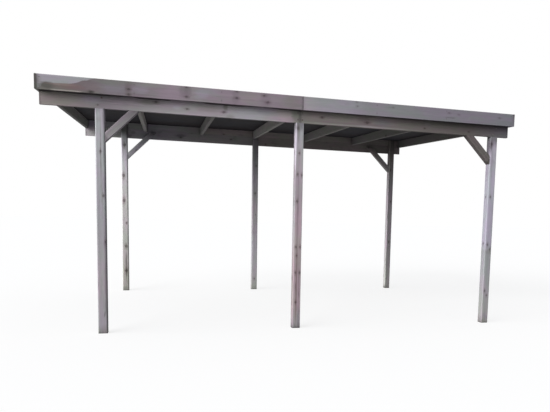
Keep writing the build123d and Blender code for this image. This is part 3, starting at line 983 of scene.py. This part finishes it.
# %% Roof boards
BOARD_GLOSS, PRESSED_FIBRE = 0.05, 0.0004
for node, level in (("roof_panel_1", 0.017), ("roof_panel_2", 0.019)):
    material, bench, shader = new_finish(node + "_board")
    seed = float(len(bpy.data.materials))
    low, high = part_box(node)
    place = bench.use("Board Position", Centre=(low + high) / 2, Along=RUNS["sloping"][0],
                      Across=(1.0, 0.0, 0.0))["Position"]
    cloud = bench.noise(place, (1.6, 1.6, 1.6), seed, 4.0, 0.6)
    fibre = bench.noise(place, (30.0, 160.0, 60.0), seed, 3.0)
    colour = bench.mix(bench.fade(cloud, 0.42, 0.62), shade(level, MAUVE), shade(level * 1.6, VIOLET))
    colour = bench.scaled(colour, bench.times_plus(fibre, 0.5, 0.75))
    give_surface(bench, shader, colour, bench.times_plus(cloud, 0.2, 0.7), BOARD_GLOSS, fibre, PRESSED_FIBRE)
    dress(node, material)
print("roof boards finished")

# %% [markdown]
# ## The roofing felt
# Mineral felt is bitumen sheet with crushed slate pressed into it. Every grain has its own grey,
# which a fine Voronoi pattern gives at once: one random value for each cell, and the cell's own
# bulge for the bump. Rain dries off it in slow clouds and leaves faint rings.

# %% Felt
GRAINS_PER_METRE, GRAIN_DEPTH, FELT_GLOSS = 420.0, 0.0008, 0.3
felts = sorted((name for name in nodes if name.startswith("roof_felt")), key=lambda name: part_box(name)[0].y)
material, bench, shader = new_finish("mineral_felt")
place = bench.use("Board Position", Centre=(0.0, 0.0, 0.0), Along=(1.0, 0.0, 0.0),
                  Across=(0.0, 1.0, 0.0))["Position"]
grains = bench.add("ShaderNodeTexVoronoi", voronoi_dimensions="3D", feature="F1")
bench.feed(grains.inputs["Vector"], place)
grains.inputs["Scale"].default_value = GRAINS_PER_METRE
grey, tint, _ = bench.split(grains.outputs["Color"])
cloud = bench.noise(place, (0.8, 1.3, 1.3), 3.0, 5.0, 0.6)
puddle = bench.fade(bench.size(bench.minus(bench.noise(place, (1.1, 1.5, 1.5), 8.0, 3.0), 0.52)), 0.05, 0.0)
colour = bench.mix(bench.fade(cloud, 0.35, 0.65), shade(0.075, STEEL), shade(0.115, CREAM))
colour = bench.scaled(colour, bench.times_plus(grey, 0.9, 0.55))
colour = bench.mix(bench.times(puddle, 0.12), colour, shade(0.15, OLIVE))
give_surface(bench, shader, colour, bench.times_plus(tint, 0.15, 0.8), FELT_GLOSS,
             grains.outputs["Distance"], GRAIN_DEPTH)
for node in felts:
    dress(node, material)
print(len(felts), "lengths of felt finished")

# %% [markdown]
# ## Steel that has seen weather
# Screws and clout nails are galvanised when they are new. Then rust starts at the cut edges and
# creeps over them. The same group serves both, with more rust on the screws.

# %% Rusting Steel
ZINC, RUST = (0.16, 0.158, 0.162, 1.0), (0.075, 0.045, 0.033, 1.0)
bench, rust, seed = start_group("Rusting Steel", takes="Rust, Seed", gives="Color, Roughness, Metal")
here = bench.add("ShaderNodeTexCoord").outputs["Object"]
cloud = bench.noise(here, (140.0, 140.0, 140.0), seed, 4.0, 0.6)
edge = bench.minus(1.0, rust)
rusty = bench.fade(cloud, bench.minus(edge, 0.12), bench.plus(edge, 0.12))
colour = bench.scaled(bench.mix(rusty, ZINC, RUST), bench.times_plus(cloud, 0.8, 0.6))
end_group(bench, Color=colour, Roughness=bench.times_plus(rusty, 0.4, 0.45),
          Metal=bench.times_plus(rusty, -0.75, 0.8))


def steel_finish(name, rust):
    """A material of rusting steel."""
    material, bench, shader = new_finish(name)
    steel = bench.use("Rusting Steel", Rust=rust, Seed=1.0)
    for socket, result in (("Base Color", "Color"), ("Roughness", "Roughness"), ("Metallic", "Metal")):
        bench.feed(shader.inputs[socket], steel[result])
    return material


# %% [markdown]
# ## Screws and nails
# All of these are turned shapes, so one small lathe makes them: a profile of radius and height,
# spun round an axis. Six sides give the pit of a hexagon key, more sides a round head. Each kind
# of fixing is one joined mesh, because hundreds of little objects would only slow the scene down.


# %% The lathe
def turn(mesh, profile, foot, axis, sides):
    """Spin a profile of (radius, height) round an axis that starts at foot, and close its ends."""
    lean = Vector((0, 0, 1)).rotation_difference(Vector(axis))
    rings = []
    for radius, height in profile:
        ring = []
        for step in range(sides):
            angle = 2 * math.pi * step / sides
            point = Vector((radius * math.cos(angle), radius * math.sin(angle), height))
            ring.append(mesh.verts.new(Vector(foot) + lean @ point))
        rings.append(ring)
    for lower, upper in zip(rings, rings[1:]):
        for step in range(sides):
            after = (step + 1) % sides
            mesh.faces.new((lower[step], lower[after], upper[after], upper[step]))
    mesh.faces.new(rings[-1])
    mesh.faces.new(list(reversed(rings[0])))


def finish_fixings(name, mesh, material):
    """Turn a bmesh into an object that rides on the carport."""
    data = bpy.data.meshes.new(name)
    mesh.to_mesh(data)
    mesh.free()
    data.materials.append(material)
    piece = bpy.data.objects.new(name, data)
    bpy.context.scene.collection.objects.link(piece)
    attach(piece, "root")
    print(name, "has", len(data.polygons), "faces")


# %% [markdown]
# ## Timber screws
# Thick screws with a flat round head and a key pit hold the beams, two on a corner post and four
# where the beams meet. Each brace has four smaller ones, two in the slanting edge at its foot and
# two in its tongue behind the beam. The pit is part of the head's profile, which turns back down
# inside the rim. A flat disc would be cheaper, but the pit is what tells a screw from a nail.

# %% Screws in beams and braces
# A head is (radius, height) from its neck up over the rim and down into the key pit.
SCREW_HEAD = [(0.0085, -0.002), (0.009, 0.0005), (0.0085, 0.0018), (0.006, 0.0028), (0.0033, 0.0029),
              (0.003, 0.0008)]
SMALL_HEAD = [(0.0055, -0.002), (0.0058, 0.0004), (0.005, 0.0014), (0.0026, 0.0018), (0.0024, 0.0006)]
# On a beam a screw is (from the post's middle, above the beam's lower edge).
CORNER_SCREWS = ((-0.02, 0.035), (0.02, 0.11))
JOINT_SCREWS = ((-0.026, 0.035), (-0.026, 0.11), (0.026, 0.035), (0.026, 0.11))
BRACE_HALF_GAP = 0.022          # between the two screws at a brace's foot
FOOT_HEIGHT = 0.045             # of those screws, above the brace's lowest point
TONGUE_DEPTHS = (0.028, 0.07)   # of the screws in its tongue, below its top
SCREW_SIDES, SMALL_SIDES = 24, 16
screws = bmesh.new()
for row, outward in (("front", -1), ("back", 1)):
    beam_low, beam_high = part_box(f"beam_{row}_left")
    outer_y = beam_low.y if outward < 0 else beam_high.y
    for which in ("left", "middle", "right"):
        middle = middle_of(f"post_{row}_{which}", X)
        for across, height in JOINT_SCREWS if which == "middle" else CORNER_SCREWS:
            place = (middle + across, outer_y, beam_low.z + height)
            turn(screws, SCREW_HEAD, place, (0, outward, 0), SCREW_SIDES)
    for which, lean in (("left", 1), ("right", -1)):
        brace = f"brace_{row}_{which}"
        low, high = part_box(brace)
        foot_x, inner_y = (low.x, high.x)[lean < 0], (high.y, low.y)[outward > 0]
        for side in (-BRACE_HALF_GAP, BRACE_HALF_GAP):
            place = (foot_x + lean * FOOT_HEIGHT, middle_of(brace, Y) + side, low.z + FOOT_HEIGHT)
            turn(screws, SMALL_HEAD, place, (lean, 0, -1), SMALL_SIDES)
        for below_top in TONGUE_DEPTHS:
            up = high.z - low.z - below_top
            place = (foot_x + lean * (up - BRACE_SECTION[0] * DIAGONAL), inner_y, high.z - below_top)
            turn(screws, SMALL_HEAD, place, (0, -outward, 0), SMALL_SIDES)
finish_fixings("timber_screws", screws, steel_finish("weathered_screws", 0.5))

# %% [markdown]
# ## Clout nails
# Roofing felt is nailed along every lap, along the front and back edges and down both ends. To
# seat each nail we drop a line on the felt and see where it lands, which also tells us which way
# the felt faces there. It would be easy to work the heights out from the slope, but this way the
# nails would still sit right if the roof were changed.

# %% Where the nails go
NAIL_EDGE, NAIL_STEP = 0.03, 0.1    # from an edge of felt, and from nail to nail
ABOVE_ROOF = 5.0


def felt_below(x, y):
    """The highest point of the felt under a place, and the way the felt faces there."""
    landed = []
    for name in felts:
        world = nodes[name].matrix_world
        to_local = world.inverted()
        start, down = to_local @ Vector((x, y, ABOVE_ROOF)), to_local.to_3x3() @ Vector((0, 0, -1))
        hit, point, normal, _ = nodes[name].ray_cast(start, down)
        if hit:
            landed.append((world @ point, world.to_3x3() @ normal))
    return max(landed, key=lambda place: place[0].z)


def spaced(start, end, step):
    """Even places from start to end, about a step apart."""
    count = round((end - start) / step)
    return [start + (end - start) * i / count for i in range(count + 1)]


roof_low, roof_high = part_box(felts[0])[0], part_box(felts[-1])[1]
left, right = roof_low.x + NAIL_EDGE, roof_high.x - NAIL_EDGE
front, back = roof_low.y + NAIL_EDGE, roof_high.y - NAIL_EDGE
nail_rows = [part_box(name)[0].y + NAIL_EDGE for name in felts] + [back]
places = [(x, y) for y in nail_rows for x in spaced(left, right, NAIL_STEP)]
places += [(x, y) for x in (left, right) for y in spaced(front + NAIL_STEP, back - NAIL_STEP, NAIL_STEP)]
print(len(places), "places for nails, in", len(nail_rows), "rows and down both ends")

# %% Clout nails
NAIL_HEAD = [(0.0046, -0.0008), (0.005, 0.0), (0.0048, 0.0007), (0.003, 0.0011)]
NAIL_SIDES = 10
nails = bmesh.new()
for x, y in places:
    foot, facing = felt_below(x, y)
    turn(nails, NAIL_HEAD, foot, facing, NAIL_SIDES)
finish_fixings("clout_nails", nails, steel_finish("galvanised_nails", 0.4))
print(len(places), "clout nails")

# %% [markdown]
# ## Floor and sky
# The carport stands on a plain pale floor in front of nothing at all. The camera sees both as
# white, and so do gloss and glass. Plain diffuse light comes from a floor and a sky of modest
# brightness, so the wood isn't washed out by them. The floor still receives a shadow.


# %% Floor
def seen_directly(bench):
    """One for a ray of the camera or of a reflection, and zero for plain diffuse light."""
    rays = bench.add("ShaderNodeLightPath").outputs
    mirrored = bench.plus(rays["Is Glossy Ray"], rays["Is Transmission Ray"])
    return bench.calc("ADD", rays["Is Camera Ray"], mirrored, clamp=True)


def one_colour(bench, kind, red, green, blue):
    """A shader of one colour."""
    node = bench.add(kind)
    node.inputs["Color"].default_value = (red, green, blue, 1.0)
    return node.outputs[0]


def show_both(bench, hidden, shown, end):
    """Plain diffuse light meets the hidden shader, and the camera and reflections the shown one."""
    choice = bench.fed(bench.add("ShaderNodeMixShader"), seen_directly(bench), hidden, shown)
    bench.feed(bench.add(end).inputs["Surface"], choice.outputs["Shader"])


FLOOR_SIZE = 160
bpy.ops.mesh.primitive_plane_add(size=FLOOR_SIZE)
floor = bpy.context.object
floor.name = "floor"
material, bench, _ = new_finish("pale_floor")
bench.tree.nodes.clear()
bright = bench.fed(bench.add("ShaderNodeAddShader"),
                   one_colour(bench, "ShaderNodeBsdfDiffuse", 0.3, 0.3, 0.3),
                   one_colour(bench, "ShaderNodeEmission", 0.755, 0.755, 0.755)).outputs["Shader"]
grey = one_colour(bench, "ShaderNodeBsdfDiffuse", 0.42, 0.42, 0.42)
show_both(bench, grey, bright, "ShaderNodeOutputMaterial")
floor.data.materials.append(material)
print("the floor is", FLOOR_SIZE, "m wide")

# %% Sky
SKY_STRENGTH = 0.40
world = bpy.data.worlds.new("soft_sky")
bpy.context.scene.world = world
world.use_nodes = True
bench = Bench(world.node_tree)
bench.tree.nodes.clear()
sky = one_colour(bench, "ShaderNodeBackground", 0.94, 0.96, 1.0)
sky.node.inputs["Strength"].default_value = SKY_STRENGTH
white = one_colour(bench, "ShaderNodeBackground", 1.0, 1.0, 1.0)
show_both(bench, sky, white, "ShaderNodeOutputWorld")
print("the sky gives", SKY_STRENGTH, "of full white")

# %% [markdown]
# ## Light
# Two very broad lamps, as wide as a bright patch of cloud, stand in for a softly lit sky on the
# left. One gives the front faces their tone, and the other catches the left faces and leaves
# the right ones in shade, which is what makes a square post look square.


# %% Lamps
def broad_lamp(name, azimuth, elevation, spread, strength):
    """A distant lamp that shines from a direction, given in degrees."""
    lamp = bpy.data.lights.new(name, "SUN")
    lamp.angle = math.radians(spread)
    lamp.energy = math.pi * strength
    piece = bpy.data.objects.new(name, lamp)
    bpy.context.scene.collection.objects.link(piece)
    turn_by, lift = math.radians(azimuth), math.radians(elevation)
    towards = Vector((math.cos(turn_by) * math.cos(lift), math.sin(turn_by) * math.cos(lift), math.sin(lift)))
    piece.rotation_euler = (-towards).to_track_quat("-Z", "Y").to_euler()


broad_lamp("lamp_front_left", azimuth=223, elevation=19, spread=40, strength=0.74)
broad_lamp("lamp_left", azimuth=188, elevation=16, spread=40, strength=0.66)
print(len(bpy.data.lights), "lamps")

# %% [markdown]
# ## Camera
# The viewer stands on the ground in front of the left half, eye height 1.35 m, turned a little to
# the right and down, with the head a touch aslant. The lens is a plain one. Its shift then puts the
# carport in its place in the frame, which we could also do by turning the camera further, but
# that would lean the posts over.

# %% Camera
EYE = (-1.4805, -8.5898, 1.3465)
LENS, SENSOR = 38.57, 36.0    # in millimetres
SHIFT_RIGHT, SHIFT_UP = -0.1198, 0.1306
LOOK_DOWN, LOOK_RIGHT, ROLL = 0.1061, 0.291, 0.028    # in radians
camera_data = bpy.data.cameras.new("camera")
camera_data.sensor_width = SENSOR
camera_data.lens = LENS
camera_data.shift_x = SHIFT_RIGHT
camera_data.shift_y = SHIFT_UP
camera = bpy.data.objects.new("camera", camera_data)
bpy.context.scene.collection.objects.link(camera)
aim = Euler((math.pi / 2 - LOOK_DOWN, 0.0, -LOOK_RIGHT), "XYZ").to_matrix() @ Matrix.Rotation(ROLL, 3, "Z")
camera.matrix_world = Matrix.Translation(EYE) @ aim.to_4x4()
bpy.context.scene.camera = camera
bpy.context.scene.view_settings.view_transform = "Standard"
print("the camera stands", EYE[2], "m above the ground, with a lens of", LENS, "mm")

# %% [markdown]
# ## Size
# The dressed carport must be exactly as large as the drawn one.
